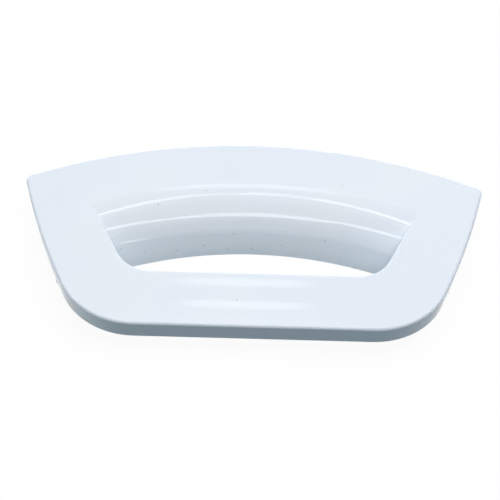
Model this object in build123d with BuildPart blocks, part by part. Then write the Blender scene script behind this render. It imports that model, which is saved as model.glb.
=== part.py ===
from build123d import *
import os
from math import cos, degrees, radians, sin, sqrt, tan

# A washing machine door handle, one moulding in white ABS. It fills a segment of the door's outer ring.
# Millimetres. X runs along the handle, Y towards the ring's arc, Z out of the front face.
# The origin is under the middle of the plate, level with the ends of the screw bosses.

# Plate, seen from the front
PLATE_HEIGHT = 102.4
ARC_RADIUS = 233.5
BASE_FLAT = 99.0
CORNER_RADIUS = 34.0
SIDE_RADIUS = 335.0
SIDE_LEAN = 24.2
TIP_RADIUS = 3.0
MIN_TIP_RADIUS = 0.5

# Plate, through its thickness
DEPTH = 20.5
SKIRT_DEPTH = 9.6
RIM_DRAFT = 5.5
FACE_THICKNESS = 2.6
WALL = 2.3
FACE_EDGE_RADIUS = 1.2

# Finger opening
BAR_WIDTH = 28.45
OPENING_FLAT = 86.3
OPENING_CORNER_RADIUS = 16.0
OPENING_LEAN = 25.2
LIP_RADIUS = 1.3

# Scoop: the far wall of the opening rolls down in bands, with a crease between each two
SCOOP_RADIUS = 159.0
SCOOP_INSET = 23.45
SCOOP_WIDTH = 22.8
ROLL_WIDTH = 5.2
ROLL_DROP = 0.59
UPPER_BAND_WIDTH = 8.95
UPPER_BAND_SLOPE = 24.0
MIDDLE_BAND_WIDTH = 5.0
MIDDLE_BAND_SLOPE = 45.0
START_RISE = 2.6
UPPER_CREASE_DIP = 0.6
UPPER_BAND_TAPER = 2.9
MIDDLE_BAND_SPREAD = 1.1
MIDDLE_BAND_EASE = 3.0
ROLL_CROWN = 0.013
UPPER_BAND_CROWN = 0.025
MIDDLE_BAND_CROWN = 0.03
LOWER_BAND_CROWN = 0.048
CREASE_RADIUS = 8.0

# Screw bosses on the hidden side, for self-tapping screws
BOSS_SPACING_X = 154.0
BOSS_SPACING_Y = 30.0
BOSS_CENTRE_Y = -5.35
BOSS_RADIUS = 4.0
BOSS_DRAFT = 0.5
PILOT_RADIUS = 1.5
PILOT_DEPTH = 14.0

# Ribs on the hidden side
RIB_THICKNESS = 1.6
RIB_SETBACK = 1.0
BAR_RIB_PITCH = 19.0
BAR_RIB_COUNT = 5
ARC_RIB_ANGLE = 5.0
ARC_RIB_COUNT = 7
ARC_RIB_DROP = 9.0
GUSSET_WIDTH = 5.0
GUSSET_DROP = 9.0

# Relief behind the bar, where the fingertips curl under it
RELIEF_LENGTH = 14.0

# Snap hooks behind the arc
HOOK_COUNT = 3
HOOK_ANGLE = 15.0
HOOK_WIDTH = 12.0
HOOK_THICKNESS = 1.8
HOOK_REACH = 7.0
HOOK_BARB = 1.2
HOOK_LEAD = 1.4
HOOK_NOSE = 0.6
HOOK_INSET = 1.6

# How far cutting shapes run past the material, and joined shapes into it
OVERCUT = 5.0
OVERLAP = 1.0

# Sections that the scoop is lofted through, each side of the middle
SCOOP_STATIONS = 3

FACE_Z = DEPTH
SKIRT_Z = DEPTH - SKIRT_DEPTH
UNDERSIDE_Z = DEPTH - FACE_THICKNESS
BASE_Y = -PLATE_HEIGHT / 2
ARC_CENTRE_Y = PLATE_HEIGHT / 2 - ARC_RADIUS
LIP_Y = BASE_Y + BAR_WIDTH
SCOOP_START_Y = PLATE_HEIGHT / 2 - SCOOP_INSET
OPENING_TOP_Y = SCOOP_START_Y + OVERCUT
OPENING_SLOPE = tan(radians(OPENING_LEAN))
SIDE_START_Y = LIP_Y + OPENING_CORNER_RADIUS * (1 - sin(radians(OPENING_LEAN)))
SIDE_START_X = OPENING_FLAT / 2 + OPENING_CORNER_RADIUS * cos(radians(OPENING_LEAN))
SIDE_RIB_REACH = BOSS_SPACING_X / 2 - OPENING_FLAT / 2
SEATED = (Align.CENTER, Align.CENTER, Align.MIN)
OPENING_HALF_WIDTH = SIDE_START_X + (OPENING_TOP_Y - SIDE_START_Y) * OPENING_SLOPE


def plate_outline(inset=0.0):
    """The plate from the front: flat base, round corners, bowed sides and the ring's arc.

    Each side is drawn as long as the plate is high, so that it runs past the arc that trims it.
    """
    sweep = degrees(PLATE_HEIGHT / (SIDE_RADIUS - inset))
    with BuildSketch() as outline:
        with BuildLine():
            base = Line((0, BASE_Y + inset), (BASE_FLAT / 2, BASE_Y + inset))
            corner = JernArc(base @ 1, base % 1, CORNER_RADIUS - inset, 90 - SIDE_LEAN)
            side = JernArc(corner @ 1, corner % 1, SIDE_RADIUS - inset, sweep)
            Line(side @ 1, (0, (side @ 1).Y))
            mirror(about=Plane.YZ)
        make_face()
        with Locations((0, ARC_CENTRE_Y)):
            Circle(ARC_RADIUS - inset, mode=Mode.INTERSECT)
        fillet(outline.vertices().group_by(Axis.Y)[-1], max(TIP_RADIUS - inset, MIN_TIP_RADIUS))
    return outline.sketch


def plate_block(inset, top_z, bottom_z):
    """Everything inside the plate's outline, or inside its rim, which leans inwards by its draft."""
    lean = tan(radians(RIM_DRAFT))
    top = plate_outline(inset + (FACE_Z - top_z) * lean)
    bottom = plate_outline(inset + (FACE_Z - bottom_z) * lean)
    with BuildPart() as block:
        with BuildSketch(Plane.XY.offset(bottom_z)):
            add(bottom)
        with BuildSketch(Plane.XY.offset(top_z)):
            add(top)
        loft(ruled=True)
    return block.part


def opening_line(growth=0.0):
    """The finger opening's near side, a corner and the slanted side, on the right of the middle."""
    with BuildLine() as half:
        lip = Line((0, LIP_Y - growth), (OPENING_FLAT / 2, LIP_Y - growth))
        turn = 90 - OPENING_LEAN
        corner = JernArc(lip @ 1, lip % 1, OPENING_CORNER_RADIUS + growth, turn)
        rise = OPENING_TOP_Y - (corner @ 1).Y
        Line(corner @ 1, corner @ 1 + Vector(rise * OPENING_SLOPE, rise))
    return half.line


def opening_outline(growth=0.0):
    """The finger opening from the front, open past the scoop, or the outside of its wall."""
    half = opening_line(growth)
    with BuildSketch() as outline:
        with BuildLine():
            add(half)
            Line(half @ 1, (0, OPENING_TOP_Y))
            mirror(about=Plane.YZ)
        make_face()
    return outline.sketch


def lip_flare():
    """The space over the opening's rounded lip, between the hole's straight sides and the face."""
    centre_z = FACE_Z - LIP_RADIUS
    outline = opening_outline(LIP_RADIUS)
    path = Pos(0, 0, centre_z) * opening_line(LIP_RADIUS)
    with BuildPart() as flare:
        with BuildSketch(Plane.XY.offset(centre_z)):
            add(outline)
        extrude(amount=LIP_RADIUS + OVERCUT)
        with BuildSketch(Plane(path @ 0, z_dir=path % 0)) as bead:
            Circle(LIP_RADIUS)
        sweep(bead.sketch, path=path, mode=Mode.SUBTRACT)
        mirror(about=Plane.YZ, mode=Mode.INTERSECT)
    return flare.part


def crease_points(x):
    """Where the scoop's start, creases and back edge cross the section at x, as (Y, Z)."""
    sagitta = SCOOP_RADIUS - sqrt(SCOOP_RADIUS**2 - x**2)
    flare = (x / OPENING_HALF_WIDTH) ** 2
    start_y = SCOOP_START_Y - sagitta
    upper_band = UPPER_BAND_WIDTH - UPPER_BAND_TAPER * flare
    middle_band = MIDDLE_BAND_WIDTH + MIDDLE_BAND_SPREAD * flare
    middle_slope = MIDDLE_BAND_SLOPE - MIDDLE_BAND_EASE * flare
    upper = Vector(start_y - ROLL_WIDTH, FACE_Z - ROLL_DROP - UPPER_CREASE_DIP * flare)
    middle = upper - Vector(upper_band, upper_band * tan(radians(UPPER_BAND_SLOPE)))
    lower = middle - Vector(middle_band, middle_band * tan(radians(middle_slope)))
    start = Vector(start_y + START_RISE * flare, FACE_Z)
    return [start, upper, middle, lower, Vector(start_y - SCOOP_WIDTH, 0)]


def set_back(points, wall):
    """The same points on the hidden side of a wall of this thickness, mitred at each crease."""
    runs = [Vector(-1, 0)]
    runs += [(after - before).normalized() for before, after in zip(points, points[1:])]
    normals = [Vector(-run.Y, run.X) for run in runs] + [Vector(1, 0)]
    moved = []
    for point, before, after in zip(points, normals, normals[1:]):
        moved.append(point + (before + after) * (wall / (1 + before.dot(after))))
    return moved


def crowned_arc(start, end, crown):
    """An arc that bulges out of the scoop's wall by this share of its own length."""
    return SagittaArc(start, end, -crown * (end - start).length)


def scoop_block(wall=0.0):
    """Everything in front of the scoop's surface, or of the hidden side of its wall."""
    with BuildPart() as block:
        for step in range(-SCOOP_STATIONS, SCOOP_STATIONS + 1):
            x = (OPENING_HALF_WIDTH + WALL + OVERLAP) * step / SCOOP_STATIONS
            start, upper, middle, lower, rear = set_back(crease_points(x), wall)
            below = rear + (rear - lower) * (OVERCUT / (lower - rear).Y)
            with BuildSketch(Plane.YZ.offset(x)) as section:
                with BuildLine():
                    crowned_arc(start, upper, ROLL_CROWN)
                    crowned_arc(upper, middle, UPPER_BAND_CROWN)
                    crowned_arc(middle, lower, MIDDLE_BAND_CROWN)
                    crowned_arc(lower, below, LOWER_BAND_CROWN)
                    Polyline(
                        below,
                        (-PLATE_HEIGHT, below.Y),
                        (-PLATE_HEIGHT, FACE_Z + OVERCUT),
                        (start.X, FACE_Z + OVERCUT),
                        start,
                    )
                make_face()
                if not wall:
                    for crease in (upper, middle, lower):
                        corner = section.vertices().sort_by_distance(crease)[0]
                        fillet(corner, CREASE_RADIUS)
        loft()
    return block.part


def finger_hole():
    """The space that fingers reach into: the opening and its rounded lip, down to the scoop."""
    scoop = scoop_block()
    outline = opening_outline()
    flare = lip_flare()
    with BuildPart() as hole:
        with BuildSketch(Plane.XY.offset(-OVERCUT)):
            add(outline)
        extrude(amount=DEPTH + 2 * OVERCUT)
        add(flare)
        add(scoop, mode=Mode.INTERSECT)
    return hole.part


def scoop_wall():
    """The solid of the opening's walls before the hole goes through it, cut away behind the bar."""
    scoop = scoop_block(WALL)
    outline = opening_outline(WALL)
    with BuildPart() as wall:
        add(scoop)
        with BuildSketch():
            add(outline)
        extrude(amount=DEPTH - FACE_THICKNESS / 2, mode=Mode.INTERSECT)
        with BuildSketch(Plane.YZ):
            with BuildLine():
                Polyline(
                    (LIP_Y + RELIEF_LENGTH, -OVERCUT),
                    (LIP_Y + RELIEF_LENGTH, 0),
                    (LIP_Y, SKIRT_Z),
                    (BASE_Y, SKIRT_Z),
                    (BASE_Y, -OVERCUT),
                    close=True,
                )
            make_face()
        extrude(amount=2 * OPENING_HALF_WIDTH, both=True, mode=Mode.SUBTRACT)
    return wall.part


def radial_plane(angle):
    """An upright plane through the ring's axis, its X axis outwards at this angle from +Y."""
    outwards = Vector(sin(radians(angle)), cos(radians(angle)), 0)
    return Plane((0, ARC_CENTRE_Y, 0), x_dir=outwards, z_dir=outwards.cross(Vector(0, 0, 1)))


def fan(count, angle):
    """Angles for a row of features along the arc, even about the middle."""
    return [angle * (step - (count - 1) / 2) for step in range(count)]


def ribs():
    """Ribs across the bar, from the scoop to the arc, and crossing at each screw boss."""
    rib_z = SKIRT_Z + RIB_SETBACK
    rib_top = UNDERSIDE_Z + OVERLAP
    rib_height = rib_top - rib_z
    outline = plate_outline(WALL / 2)
    with BuildPart() as web:
        with Locations((0, (BASE_Y + LIP_Y) / 2, rib_z)):
            with GridLocations(BAR_RIB_PITCH, 0, BAR_RIB_COUNT, 1):
                Box(RIB_THICKNESS, BAR_WIDTH - WALL, rib_height, align=SEATED)
        for angle in fan(ARC_RIB_COUNT, ARC_RIB_ANGLE):
            rear_y = crease_points(ARC_RADIUS * sin(radians(angle)))[-1].X
            inner = (rear_y - ARC_CENTRE_Y) / cos(radians(angle))
            with BuildSketch(radial_plane(angle)):
                with BuildLine():
                    Polyline(
                        (ARC_RADIUS - WALL / 2, rib_top),
                        (ARC_RADIUS - WALL / 2, rib_z),
                        (inner, rib_z - ARC_RIB_DROP),
                        (inner, rib_top),
                        close=True,
                    )
                make_face()
            extrude(amount=RIB_THICKNESS / 2, both=True)
        with Locations((0, 0, rib_z)):
            with GridLocations(BOSS_SPACING_X, 0, 2, 1):
                Box(RIB_THICKNESS, PLATE_HEIGHT, rib_height, align=SEATED)
        with Locations((0, BOSS_CENTRE_Y, rib_z)):
            with GridLocations(BOSS_SPACING_X, BOSS_SPACING_Y, 2, 2):
                Box(2 * SIDE_RIB_REACH, RIB_THICKNESS, rib_height, align=SEATED)
        with BuildSketch():
            add(outline)
        extrude(amount=DEPTH, mode=Mode.INTERSECT)
    return web.part


def bosses():
    """Four screw bosses, each between gussets that widen up to the ribs."""
    gusset_top = SKIRT_Z + RIB_SETBACK
    gusset_foot = gusset_top - GUSSET_DROP
    foot_half = BOSS_RADIUS - OVERLAP
    top_half = BOSS_RADIUS + GUSSET_WIDTH
    feet = [(-foot_half, gusset_foot), (foot_half, gusset_foot)]
    corners = [(-top_half, gusset_top), *feet, (top_half, gusset_top)]
    outline = plate_outline(WALL / 2)
    with BuildPart() as posts:
        for x in (-BOSS_SPACING_X / 2, BOSS_SPACING_X / 2):
            for y in (BOSS_CENTRE_Y - BOSS_SPACING_Y / 2, BOSS_CENTRE_Y + BOSS_SPACING_Y / 2):
                for along in (Plane.XZ, Plane.YZ):
                    upright = Plane((x, y, 0), x_dir=along.x_dir, z_dir=along.z_dir)
                    with BuildSketch(upright):
                        with BuildLine():
                            Polyline(*corners, close=True)
                        make_face()
                    extrude(amount=RIB_THICKNESS / 2, both=True)
        with BuildSketch():
            add(outline)
        extrude(amount=DEPTH, mode=Mode.INTERSECT)
        with BuildSketch():
            with Locations((0, BOSS_CENTRE_Y)):
                with GridLocations(BOSS_SPACING_X, BOSS_SPACING_Y, 2, 2):
                    Circle(BOSS_RADIUS)
        extrude(amount=UNDERSIDE_Z + OVERLAP, taper=-BOSS_DRAFT)
    return posts.part


def hooks():
    """Snap hooks that hang from the skirt behind the arc, each with a barb facing outwards."""
    outer = ARC_RADIUS - HOOK_INSET
    inner = outer - HOOK_THICKNESS
    root_z = SKIRT_Z + OVERLAP
    end_z = SKIRT_Z - HOOK_REACH
    nose_z = end_z + HOOK_LEAD
    catch_z = nose_z + HOOK_NOSE
    with BuildPart() as row:
        for angle in fan(HOOK_COUNT, HOOK_ANGLE):
            with BuildSketch(radial_plane(angle)):
                with BuildLine():
                    Polyline(
                        (inner, root_z),
                        (inner, end_z),
                        (outer, end_z),
                        (outer + HOOK_BARB, nose_z),
                        (outer + HOOK_BARB, catch_z),
                        (outer, catch_z + HOOK_NOSE),
                        (outer, root_z),
                        close=True,
                    )
                make_face()
            extrude(amount=HOOK_WIDTH / 2, both=True)
    return row.part


plate = plate_block(0, FACE_Z, SKIRT_Z)
cavity = plate_block(WALL, UNDERSIDE_Z, SKIRT_Z - OVERLAP)
rib_web = ribs()
snap_hooks = hooks()
opening_walls = scoop_wall()
screw_posts = bosses()
finger_space = finger_hole()

with BuildPart() as door_handle:
    add(plate)
    fillet(door_handle.edges().group_by(Axis.Z)[-1], FACE_EDGE_RADIUS)
    add(cavity, mode=Mode.SUBTRACT)
    add([rib_web, snap_hooks, opening_walls, screw_posts])
    add(finger_space, mode=Mode.SUBTRACT)
    with Locations((0, BOSS_CENTRE_Y, 0)):
        with GridLocations(BOSS_SPACING_X, BOSS_SPACING_Y, 2, 2):
            Cylinder(PILOT_RADIUS, 2 * PILOT_DEPTH, mode=Mode.SUBTRACT)

os.makedirs("parts", exist_ok=True)
door_handle.part.label = "door_handle"
export_step(door_handle.part, "parts/door_handle.step")
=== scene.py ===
import math

import bmesh
import bpy
from bpy.props import FloatProperty, FloatVectorProperty, PointerProperty
from bpy.types import Operator, Panel, PropertyGroup
from mathutils import Matrix, Vector


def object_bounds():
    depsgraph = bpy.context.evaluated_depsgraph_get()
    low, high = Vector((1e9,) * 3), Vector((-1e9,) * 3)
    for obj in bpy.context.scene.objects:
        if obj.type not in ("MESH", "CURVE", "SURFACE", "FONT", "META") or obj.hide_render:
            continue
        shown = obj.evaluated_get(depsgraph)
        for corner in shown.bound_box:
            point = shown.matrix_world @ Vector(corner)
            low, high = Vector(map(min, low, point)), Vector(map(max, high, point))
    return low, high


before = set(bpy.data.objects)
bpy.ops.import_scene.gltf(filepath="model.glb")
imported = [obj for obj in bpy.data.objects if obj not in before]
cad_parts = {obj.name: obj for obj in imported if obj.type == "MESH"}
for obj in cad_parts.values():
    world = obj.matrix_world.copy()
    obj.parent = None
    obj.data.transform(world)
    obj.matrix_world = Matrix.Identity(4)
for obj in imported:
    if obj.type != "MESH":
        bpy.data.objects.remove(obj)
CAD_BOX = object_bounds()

bl_info = {
    "name": "Washing machine door handle",
    "version": (1, 0, 0),
    "blender": (4, 5, 0),
    "location": "3D View > Sidebar > Door Handle",
    "description": "Gives a door handle its moulded white plastic and sets it in a small photo studio",
    "category": "Object",
}

# Height of the face: the top of the parts imported from model.glb
FACE_Z = CAD_BOX[1].z

# Index of refraction of ABS
ABS_IOR = 1.54

# Side of the photograph in pixels, and width of the camera's sensor in millimetres
PHOTO_SIDE = 500
SENSOR_WIDTH = 36

# Round paper floor
FLOOR_RADIUS = 2.5
FLOOR_SEGMENTS = 96

# Lamps: how far they hang from the face, and how long and deep they are
LAMP_DISTANCE = 1.1
PANEL_LENGTH = 1.8
STREAK_DISTANCE = 0.967
STREAK_SIZE = (0.17, 0.0078)

# Share of a rectangle that the ellipse inside it covers
ELLIPSE_SHARE = math.pi / 4


def linear(hex_colour):
    """Turn an sRGB hex colour, such as E5EEF5, into linear red, green and blue."""
    channels = [int(hex_colour[i : i + 2], 16) / 255 for i in (0, 2, 4)]
    return [c / 12.92 if c <= 0.04045 else ((c + 0.055) / 1.055) ** 2.4 for c in channels]


def add_node(tree, kind, inputs=None, **settings):
    """Add a node with its settings, and set or link each named or numbered input."""
    node = tree.nodes.new(kind)
    for name, value in settings.items():
        setattr(node, name, value)
    for key, value in (inputs or {}).items():
        if isinstance(value, bpy.types.NodeSocket):
            tree.links.new(value, node.inputs[key])
        else:
            node.inputs[key].default_value = value
    return node


def new_tree(holder):
    """Empty the node tree of a material, world or lamp and return it."""
    holder.use_nodes = True
    holder.node_tree.nodes.clear()
    return holder.node_tree


class HandleFinish(PropertyGroup):
    """Colours and surface sizes of the white moulding."""

    body_colour: FloatVectorProperty(
        name="Body colour",
        description="Main colour of the white plastic",
        subtype="COLOR",
        min=0,
        max=1,
        default=linear("E7EDF2"),
    )
    cool_colour: FloatVectorProperty(
        name="Cool patches",
        description="Colour that the plastic drifts towards in broad soft patches",
        subtype="COLOR",
        min=0,
        max=1,
        default=linear("E5ECF3"),
    )
    dust_colour: FloatVectorProperty(
        name="Dust colour",
        description="Colour of the small specks of dust",
        subtype="COLOR",
        min=0,
        max=1,
        default=linear("66727C"),
    )
    patch_size: FloatProperty(
        name="Patch size",
        description="Width of the broad colour patches",
        subtype="DISTANCE",
        default=0.045,
    )
    dust_spacing: FloatProperty(
        name="Dust spacing",
        description="Distance between specks, before most of them are left out",
        subtype="DISTANCE",
        default=0.0035,
    )
    dust_size: FloatProperty(
        name="Dust size",
        description="Radius of the largest specks",
        subtype="DISTANCE",
        default=0.0003,
    )
    dusty_depth: FloatProperty(
        name="Dusty depth",
        description="Depth below the face from which the dust lies thick",
        subtype="DISTANCE",
        default=0.011,
    )
    clean_depth: FloatProperty(
        name="Clean depth",
        description="Depth below the face down to which the plastic is wiped clean",
        subtype="DISTANCE",
        default=0.0085,
    )
    scoop_rarity: FloatProperty(
        name="Clean part of the scoop",
        description="Share of the scoop's noise cells that hold no speck",
        min=0,
        max=1,
        default=0.4,
    )
    face_rarity: FloatProperty(
        name="Clean part of the face",
        description="Share of the face's noise cells that hold no speck",
        min=0,
        max=1,
        default=0.96,
    )
    polish: FloatProperty(
        name="Face roughness",
        description="Roughness of the polished front",
        min=0,
        max=1,
        default=0.02,
    )
    smear: FloatProperty(
        name="Smear roughness",
        description="Roughness where hands have dulled the front",
        min=0,
        max=1,
        default=0.035,
    )
    smear_size: FloatProperty(
        name="Smear size",
        description="Width of the smears",
        subtype="DISTANCE",
        default=0.014,
    )
    back_roughness: FloatProperty(
        name="Back roughness",
        description="Roughness of the unpolished hidden side",
        min=0,
        max=1,
        default=0.42,
    )
    wave_size: FloatProperty(
        name="Wave size",
        description="Width of the slow waves that cooling leaves in the face",
        subtype="DISTANCE",
        default=0.018,
    )
    wave_height: FloatProperty(
        name="Wave height",
        description="Height of the slow waves",
        subtype="DISTANCE",
        default=0.000003,
    )
    peel_size: FloatProperty(
        name="Peel size",
        description="Width of the fine ripples left by the polished cavity",
        subtype="DISTANCE",
        default=0.0012,
    )
    peel_height: FloatProperty(
        name="Peel height",
        description="Height of the fine ripples",
        subtype="DISTANCE",
        default=0.0000003,
    )


class HandleStudio(PropertyGroup):
    """Camera, lamps and floor."""

    look_down: FloatProperty(
        name="Camera elevation",
        description="How steeply the camera looks down",
        subtype="ANGLE",
        default=math.radians(50),
    )
    look_across: FloatProperty(
        name="Camera turn",
        description="How far the camera looks towards the right of straight ahead",
        subtype="ANGLE",
        default=math.radians(2.13),
    )
    tilt: FloatProperty(
        name="Camera tilt",
        description="How far the camera leans to the left, which turns the picture clockwise",
        subtype="ANGLE",
        default=math.radians(3.26),
    )
    distance: FloatProperty(
        name="Camera distance",
        description="From the camera to the point that it looks at",
        subtype="DISTANCE",
        default=0.7,
    )
    aim: FloatProperty(
        name="Camera aim",
        description="Place along Y of the point on the face that the camera looks at",
        subtype="DISTANCE",
        default=-0.01035,
    )
    slide: FloatProperty(
        name="Picture slide",
        description="How far the picture slides to the right, in pixels of a 500 pixel frame",
        default=4.36,
    )
    lens: FloatProperty(
        name="Lens",
        description="Focal length in millimetres on a 36 mm sensor",
        default=118.64,
    )
    shadow: FloatProperty(
        name="Shadow",
        description="Share of the handle's shadow that the paper shows close to it",
        min=0,
        max=1,
        default=0.055,
    )
    shadow_start: FloatProperty(
        name="Shadow start",
        description="Distance from the middle at which the shadow starts to fade out",
        subtype="DISTANCE",
        default=0.18,
    )
    shadow_end: FloatProperty(
        name="Shadow end",
        description="Distance from the middle at which the paper is plain white",
        subtype="DISTANCE",
        default=0.6,
    )
    floor_colour: FloatVectorProperty(
        name="Floor colour",
        description="Colour that the floor gives back to the underside of the handle",
        subtype="COLOR",
        min=0,
        max=1,
        default=linear("61828D"),
    )
    room_colour: FloatVectorProperty(
        name="Room colour",
        description="Colour of the dim light from all round",
        subtype="COLOR",
        min=0,
        max=1,
        default=linear("A8C8F4"),
    )
    room_light: FloatProperty(
        name="Room light",
        description="Strength of the light from all round",
        min=0,
        default=0.08,
    )
    overhead_light: FloatProperty(
        name="Overhead light",
        description="Brightness of the wide panel overhead, where white paper is 1",
        min=0,
        default=3.85,
    )
    left_light: FloatProperty(
        name="Left light",
        description="Brightness of the lamp low on the left",
        min=0,
        default=2.2,
    )
    back_light: FloatProperty(
        name="Back light",
        description="Brightness of the large lamp low behind the handle",
        min=0,
        default=4.8,
    )
    wall_light: FloatProperty(
        name="Wall light",
        description="Brightness of the room's walls, as the plastic mirrors them",
        min=0,
        default=1.1,
    )
    wall_middle: FloatProperty(
        name="Wall middle",
        description="Elevation up to which the walls are at their brightest",
        subtype="ANGLE",
        default=math.radians(14),
    )
    wall_top: FloatProperty(
        name="Wall top",
        description="Elevation at which the walls end in the dim ceiling",
        subtype="ANGLE",
        default=math.radians(26),
    )
    roll_light: FloatProperty(
        name="Roll light",
        description="Brightness mirrored where the face starts to roll into the scoop",
        min=0,
        default=2.1,
    )
    valley_light: FloatProperty(
        name="Valley light",
        description="Brightness mirrored between the roll and the upper crease",
        min=0,
        default=0.2,
    )
    upper_crease_light: FloatProperty(
        name="Upper crease light",
        description="Brightness mirrored in the crease next to the face",
        min=0,
        default=4.6,
    )
    upper_glow: FloatProperty(
        name="Upper glow",
        description="Brightness mirrored below the upper crease, where its light dies away",
        min=0,
        default=1.7,
    )
    upper_band_light: FloatProperty(
        name="Upper band light",
        description="Brightness mirrored across the first band of the scoop",
        min=0,
        default=0.75,
    )
    middle_crease_light: FloatProperty(
        name="Middle crease light",
        description="Brightness mirrored in the crease half way down the scoop",
        min=0,
        default=4.2,
    )
    middle_band_light: FloatProperty(
        name="Middle band light",
        description="Brightness mirrored across the second band of the scoop",
        min=0,
        default=0.96,
    )
    lower_crease_light: FloatProperty(
        name="Lower crease light",
        description="Brightness mirrored in the left end of the lowest crease",
        min=0,
        default=5.0,
    )
    streak_light: FloatProperty(
        name="Streak light",
        description="Brightness of the two narrow lamps mirrored in the bar",
        min=0,
        default=1.6,
    )


def moulded_white_abs(finish):
    """ABS, injection moulded in a polished cavity: glossy, slightly blue, with slow cooling waves."""
    material = bpy.data.materials.new("moulded_white_abs")
    tree = new_tree(material)
    place = add_node(tree, "ShaderNodeTexCoord")
    where = place.outputs["Object"]

    # Broad patches where the colour drifts a little
    patches = add_node(
        tree,
        "ShaderNodeTexNoise",
        {"Vector": where, "Scale": 1 / finish.patch_size, "Detail": 2.0, "Roughness": 0.4},
    )
    patch_mask = add_node(
        tree,
        "ShaderNodeMapRange",
        {"Value": patches.outputs["Fac"], "From Min": 0.4, "From Max": 0.6},
        interpolation_type="SMOOTHSTEP",
    )
    tone = add_node(
        tree,
        "ShaderNodeMix",
        {
            "Factor": patch_mask.outputs["Result"],
            "A": (*finish.body_colour, 1),
            "B": (*finish.cool_colour, 1),
        },
        data_type="RGBA",
    )

    # Specks of dust: cells of noise, most of them left empty
    cells = add_node(
        tree,
        "ShaderNodeTexVoronoi",
        {"Vector": where, "Scale": 1 / finish.dust_spacing, "Randomness": 1.0},
    )
    speck = add_node(
        tree,
        "ShaderNodeMapRange",
        {
            "Value": cells.outputs["Distance"],
            "From Min": 0.5 * finish.dust_size / finish.dust_spacing,
            "From Max": finish.dust_size / finish.dust_spacing,
            "To Min": 1.0,
            "To Max": 0.0,
        },
        interpolation_type="SMOOTHSTEP",
    )
    cell_pick = add_node(tree, "ShaderNodeSeparateColor", {"Color": cells.outputs["Color"]})
    height = add_node(tree, "ShaderNodeSeparateXYZ", {"Vector": where})
    rarity = add_node(
        tree,
        "ShaderNodeMapRange",
        {
            "Value": height.outputs["Z"],
            "From Min": FACE_Z - finish.dusty_depth,
            "From Max": FACE_Z - finish.clean_depth,
            "To Min": finish.scoop_rarity,
            "To Max": finish.face_rarity,
        },
    )
    kept = add_node(
        tree,
        "ShaderNodeMath",
        {0: cell_pick.outputs["Red"], 1: rarity.outputs["Result"]},
        operation="GREATER_THAN",
    )
    dust = add_node(
        tree,
        "ShaderNodeMath",
        {0: speck.outputs["Result"], 1: kept.outputs[0]},
        operation="MULTIPLY",
    )
    colour = add_node(
        tree,
        "ShaderNodeMix",
        {"Factor": dust.outputs[0], "A": tone.outputs["Result"], "B": (*finish.dust_colour, 1)},
        data_type="RGBA",
    )

    # Roughness: polished front dulled in smears, and a plain tool finish on the hidden side
    smears = add_node(
        tree,
        "ShaderNodeTexNoise",
        {"Vector": where, "Scale": 1 / finish.smear_size, "Detail": 4.0, "Roughness": 0.6},
    )
    front_roughness = add_node(
        tree,
        "ShaderNodeMapRange",
        {
            "Value": smears.outputs["Fac"],
            "From Min": 0.45,
            "From Max": 0.75,
            "To Min": finish.polish,
            "To Max": finish.smear,
        },
    )
    facing = add_node(tree, "ShaderNodeSeparateXYZ", {"Vector": place.outputs["Normal"]})
    hidden = add_node(
        tree,
        "ShaderNodeMapRange",
        {"Value": facing.outputs["Z"], "From Min": -0.1, "From Max": -0.5},
    )
    roughness = add_node(
        tree,
        "ShaderNodeMix",
        {
            "Factor": hidden.outputs["Result"],
            "A": front_roughness.outputs["Result"],
            "B": finish.back_roughness,
        },
        data_type="FLOAT",
    )

    # Bump: slow waves from cooling, and the fine peel of the polished cavity
    waves = add_node(
        tree,
        "ShaderNodeTexNoise",
        {"Vector": where, "Scale": 1 / finish.wave_size, "Detail": 1.0},
    )
    wave_bump = add_node(
        tree,
        "ShaderNodeBump",
        {"Height": waves.outputs["Fac"], "Strength": 1.0, "Distance": finish.wave_height},
    )
    peel = add_node(
        tree,
        "ShaderNodeTexNoise",
        {"Vector": where, "Scale": 1 / finish.peel_size, "Detail": 2.0},
    )
    peel_bump = add_node(
        tree,
        "ShaderNodeBump",
        {
            "Height": peel.outputs["Fac"],
            "Strength": 1.0,
            "Distance": finish.peel_height,
            "Normal": wave_bump.outputs["Normal"],
        },
    )

    shader = add_node(
        tree,
        "ShaderNodeBsdfPrincipled",
        {
            "Base Color": colour.outputs["Result"],
            "Roughness": roughness.outputs["Result"],
            "IOR": ABS_IOR,
            "Normal": peel_bump.outputs["Normal"],
        },
    )
    add_node(tree, "ShaderNodeOutputMaterial", {"Surface": shader.outputs["BSDF"]})
    return material


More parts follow.
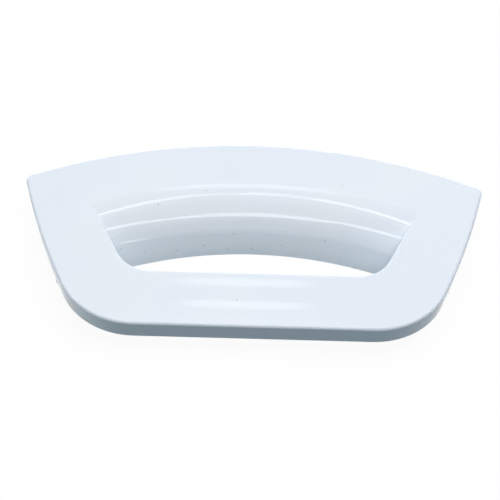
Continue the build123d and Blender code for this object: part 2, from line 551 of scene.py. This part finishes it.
def white_sweep(studio):
    """Matt paper sweep: seen as plain white, with a soft shadow that fades out round the handle."""
    material = bpy.data.materials.new("white_paper_sweep")
    tree = new_tree(material)

    # Rays from the camera, from a mirroring surface and through a clear one see the paper itself
    rays = add_node(tree, "ShaderNodeLightPath")
    seen = add_node(
        tree,
        "ShaderNodeMath",
        {0: rays.outputs["Is Camera Ray"], 1: rays.outputs["Is Glossy Ray"]},
        operation="MAXIMUM",
    )
    seen_through = add_node(
        tree,
        "ShaderNodeMath",
        {0: seen.outputs[0], 1: rays.outputs["Is Transmission Ray"]},
        operation="MAXIMUM",
    )

    # The paper glows white, with a small share of real paper mixed in to carry the shadow
    place = add_node(tree, "ShaderNodeTexCoord")
    reach = add_node(
        tree,
        "ShaderNodeVectorMath",
        {0: place.outputs["Object"]},
        operation="LENGTH",
    )
    shadow_share = add_node(
        tree,
        "ShaderNodeMapRange",
        {
            "Value": reach.outputs["Value"],
            "From Min": studio.shadow_start,
            "From Max": studio.shadow_end,
            "To Min": studio.shadow,
            "To Max": 0.0,
        },
        interpolation_type="SMOOTHSTEP",
    )
    paper = add_node(tree, "ShaderNodeBsdfDiffuse", {"Color": (1, 1, 1, 1)})
    white = add_node(tree, "ShaderNodeEmission", {"Color": (1, 1, 1, 1), "Strength": 1.0})
    shown = add_node(
        tree,
        "ShaderNodeMixShader",
        {0: shadow_share.outputs["Result"], 1: white.outputs[0], 2: paper.outputs[0]},
    )

    # All other rays meet a darker floor, which tints the light on the underside of the handle
    bounce = add_node(tree, "ShaderNodeBsdfDiffuse", {"Color": (*studio.floor_colour, 1)})
    surface = add_node(
        tree,
        "ShaderNodeMixShader",
        {0: seen_through.outputs[0], 1: bounce.outputs[0], 2: shown.outputs[0]},
    )
    add_node(tree, "ShaderNodeOutputMaterial", {"Surface": surface.outputs[0]})
    return material


def lay_floor(studio):
    """Lay the round paper floor that the handle stands on."""
    mesh = bpy.data.meshes.new("paper_floor")
    shape = bmesh.new()
    bmesh.ops.create_circle(shape, cap_ends=True, segments=FLOOR_SEGMENTS, radius=FLOOR_RADIUS)
    shape.to_mesh(mesh)
    shape.free()
    mesh.materials.append(white_sweep(studio))
    paper = bpy.data.objects.new("paper_floor", mesh)
    bpy.context.collection.objects.link(paper)


def light_room(studio):
    """Give the world a dim cool light, seen as plain white behind the floor."""
    world = bpy.data.worlds.new("studio_room")
    bpy.context.scene.world = world
    tree = new_tree(world)
    rays = add_node(tree, "ShaderNodeLightPath")
    seen = add_node(
        tree,
        "ShaderNodeMath",
        {0: rays.outputs["Is Camera Ray"], 1: rays.outputs["Is Transmission Ray"]},
        operation="MAXIMUM",
    )

    # Only what the plastic mirrors has walls, bright low down and dim towards the ceiling
    place = add_node(tree, "ShaderNodeTexCoord")
    direction = add_node(tree, "ShaderNodeSeparateXYZ", {"Vector": place.outputs["Generated"]})
    walls = add_node(
        tree,
        "ShaderNodeMapRange",
        {
            "Value": direction.outputs["Z"],
            "From Min": math.sin(studio.wall_middle),
            "From Max": math.sin(studio.wall_top),
            "To Min": studio.wall_light,
            "To Max": studio.room_light,
        },
        interpolation_type="SMOOTHSTEP",
    )
    strength = add_node(
        tree,
        "ShaderNodeMix",
        {
            "Factor": rays.outputs["Is Glossy Ray"],
            "A": studio.room_light,
            "B": walls.outputs["Result"],
        },
        data_type="FLOAT",
    )
    room = add_node(
        tree,
        "ShaderNodeBackground",
        {"Color": (*studio.room_colour, 1), "Strength": strength.outputs["Result"]},
    )
    white = add_node(tree, "ShaderNodeBackground", {"Color": (1, 1, 1, 1), "Strength": 1.0})
    surface = add_node(
        tree,
        "ShaderNodeMixShader",
        {0: seen.outputs[0], 1: room.outputs[0], 2: white.outputs[0]},
    )
    add_node(tree, "ShaderNodeOutputWorld", {"Surface": surface.outputs[0]})


def hang_lamp(name, brightness, size, behind=0, right=0, distance=LAMP_DISTANCE):
    """Hang a soft lamp over the face, at so many degrees behind the zenith and to its right."""
    width, depth = size
    data = bpy.data.lights.new(name, "AREA")
    data.shape = "RECTANGLE"
    data.size = width
    data.size_y = depth
    data.energy = brightness * math.pi * width * depth
    lamp = bpy.data.objects.new(name, data)
    lamp.visible_camera = False
    target = Vector((0, 0, FACE_Z))
    lamp.matrix_world = (
        Matrix.Translation(target)
        @ Matrix.Rotation(math.radians(-behind), 4, "X")
        @ Matrix.Rotation(math.radians(right), 4, "Y")
        @ Matrix.Translation((0, 0, distance))
    )
    bpy.context.collection.objects.link(lamp)
    return lamp


def hang_strip(name, brightness, size, end_fade=0.05, side_fade=0.02, **place):
    """Hang a lamp that only shows mirrored, and fades over a share of its length and of its width."""
    # The ellipse is smaller than the rectangle round it, and takes so much less power to be as bright
    lamp = hang_lamp(name, ELLIPSE_SHARE * brightness, size, **place)
    lamp.data.shape = "ELLIPSE"
    lamp.visible_diffuse = False
    tree = new_tree(lamp.data)
    surface = add_node(tree, "ShaderNodeNewGeometry")
    spot = add_node(tree, "ShaderNodeSeparateXYZ", {"Vector": surface.outputs["Parametric"]})

    # Each direction's strength rises from 0 at both edges to 1 where its fade ends
    strengths = []
    for direction, fade in (("X", end_fade), ("Y", side_fade)):
        from_edge = add_node(
            tree,
            "ShaderNodeMath",
            {0: spot.outputs[direction], 1: 0.5},
            operation="PINGPONG",
        )
        strength = add_node(
            tree,
            "ShaderNodeMapRange",
            {"Value": from_edge.outputs[0], "From Min": 0.0, "From Max": fade},
            interpolation_type="SMOOTHSTEP",
        )
        strengths.append(strength.outputs["Result"])
    both = add_node(
        tree,
        "ShaderNodeMath",
        {0: strengths[0], 1: strengths[1]},
        operation="MULTIPLY",
    )
    glow = add_node(tree, "ShaderNodeEmission", {"Strength": both.outputs[0]})
    add_node(tree, "ShaderNodeOutputLight", {"Surface": glow.outputs[0]})


def hang_lamps(studio):
    """Hang the lamps that light the handle and those that it mirrors."""
    # These light the handle, but aren't mirrored in it
    for lamp in (
        hang_lamp("back_lamp", studio.back_light, (1.3, 0.4), behind=70),
        hang_lamp("overhead_lamp", studio.overhead_light, (1.3, 0.8), behind=-6.6, right=8),
        hang_lamp("left_lamp", studio.left_light, (0.6, 0.6), right=-75),
    ):
        lamp.visible_glossy = False

    # These are mirrored in the roll, the creases and the bands of the scoop, from the face down
    hang_strip("roll_strip", studio.roll_light, (0.4, 0.14), end_fade=0.45, side_fade=0.5, behind=33)
    hang_strip("valley_panel", studio.valley_light, (PANEL_LENGTH, 0.3), behind=25.2)
    hang_strip("upper_strip", studio.upper_crease_light, (PANEL_LENGTH, 0.36), side_fade=0.5, behind=11.5)
    hang_strip("upper_glow", studio.upper_glow, (PANEL_LENGTH, 0.35), side_fade=0.5, behind=3)
    hang_strip("upper_panel", studio.upper_band_light, (PANEL_LENGTH, 0.34), behind=-9)
    hang_strip("middle_strip", studio.middle_crease_light, (PANEL_LENGTH, 0.12), behind=-26)
    hang_strip("middle_panel", studio.middle_band_light, (PANEL_LENGTH, 0.15), behind=-42)
    hang_strip(
        "lower_strip",
        studio.lower_crease_light,
        (0.35, 0.2),
        end_fade=0.3,
        side_fade=0.5,
        behind=-68.7,
        right=28,
    )

    # These are the two streaks along the bar
    for name, behind in (("near_streak", 37.54), ("far_streak", 36.2)):
        hang_strip(
            name,
            studio.streak_light,
            STREAK_SIZE,
            end_fade=0.25,
            behind=behind,
            right=0.86,
            distance=STREAK_DISTANCE,
        )


def place_camera(studio):
    """Put the camera where the photograph was taken from."""
    data = bpy.data.cameras.new("photo_camera")
    data.lens = studio.lens
    data.sensor_width = SENSOR_WIDTH
    data.shift_x = -studio.slide / PHOTO_SIDE
    camera = bpy.data.objects.new("photo_camera", data)
    target = Vector((0, studio.aim, FACE_Z))
    camera.matrix_world = (
        Matrix.Translation(target)
        @ Matrix.Rotation(-studio.look_across, 4, "Z")
        @ Matrix.Rotation(math.radians(90) - studio.look_down, 4, "X")
        @ Matrix.Translation((0, 0, studio.distance))
        @ Matrix.Rotation(studio.tilt, 4, "Z")
    )
    bpy.context.collection.objects.link(camera)
    bpy.context.scene.camera = camera


class DOORHANDLE_OT_finish_moulding(Operator):
    """Give the door handle its moulded white plastic"""

    bl_idname = "door_handle.finish_moulding"
    bl_label = "Finish the moulding"

    def execute(self, context):
        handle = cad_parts["door_handle"]
        handle.data.materials.clear()
        handle.data.materials.append(moulded_white_abs(context.scene.handle_finish))
        return {"FINISHED"}


class DOORHANDLE_OT_build_stage(Operator):
    """Lay the floor, hang the lamps and place the camera"""

    bl_idname = "door_handle.build_stage"
    bl_label = "Build the stage"

    def execute(self, context):
        studio = context.scene.handle_studio
        lay_floor(studio)
        light_room(studio)
        hang_lamps(studio)
        place_camera(studio)
        context.scene.view_settings.view_transform = "Standard"
        return {"FINISHED"}


class DOORHANDLE_PT_sidebar(Panel):
    """Lists the steps and the sizes and colours that they use"""

    bl_idname = "DOORHANDLE_PT_sidebar"
    bl_label = "Door handle"
    bl_space_type = "VIEW_3D"
    bl_region_type = "UI"
    bl_category = "Door Handle"

    def draw(self, context):
        steps = (
            (DOORHANDLE_OT_finish_moulding, context.scene.handle_finish),
            (DOORHANDLE_OT_build_stage, context.scene.handle_studio),
        )
        for step, settings in steps:
            column = self.layout.column(align=True)
            column.operator(step.bl_idname)
            for name in settings.__annotations__:
                column.prop(settings, name)


CLASSES = (
    HandleFinish,
    HandleStudio,
    DOORHANDLE_OT_finish_moulding,
    DOORHANDLE_OT_build_stage,
    DOORHANDLE_PT_sidebar,
)


def register():
    """Register the classes and hang the settings on the scene."""
    for cls in CLASSES:
        bpy.utils.register_class(cls)
    bpy.types.Scene.handle_finish = PointerProperty(type=HandleFinish)
    bpy.types.Scene.handle_studio = PointerProperty(type=HandleStudio)


def unregister():
    """Take the settings off the scene and unregister the classes."""
    del bpy.types.Scene.handle_studio
    del bpy.types.Scene.handle_finish
    for cls in reversed(CLASSES):
        bpy.utils.unregister_class(cls)


def main():
    """Build everything in order."""
    register()
    bpy.ops.door_handle.finish_moulding()
    bpy.ops.door_handle.build_stage()


if __name__ == "__main__":
    main()
